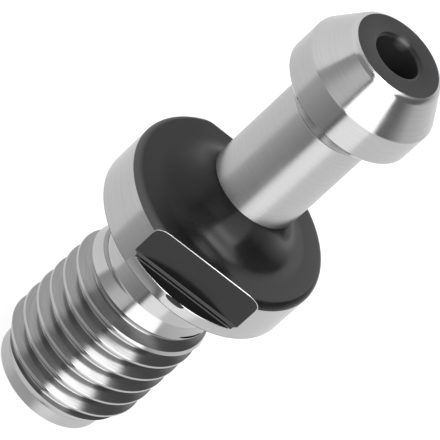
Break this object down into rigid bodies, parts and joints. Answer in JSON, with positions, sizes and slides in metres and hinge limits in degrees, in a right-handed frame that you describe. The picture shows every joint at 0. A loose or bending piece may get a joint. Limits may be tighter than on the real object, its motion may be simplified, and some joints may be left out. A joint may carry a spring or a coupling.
{
  "type": "pull stud",
  "caption": "Turned steel pull stud with a gripping head, slim neck, flange with wrench flats, screw thread and coolant bore, for drawing a tool holder into a spindle.",
  "frame": {"origin": "centre of the thread's end face, on which the stud stands", "axes": "+Z along the stud's axis towards the head; the wrench flats face -Y and +Y"},
  "size_m": [0.023, 0.023, 0.0573],
  "materials": {
    "steel": "fine turned and ground steel, with a matt black oxide finish on the flange's upper face, the wrench flats, the head's front face and the bore"
  },
  "bodies": {
    "root": {"pull_stud": "steel"}
  },
  "joints": []
}
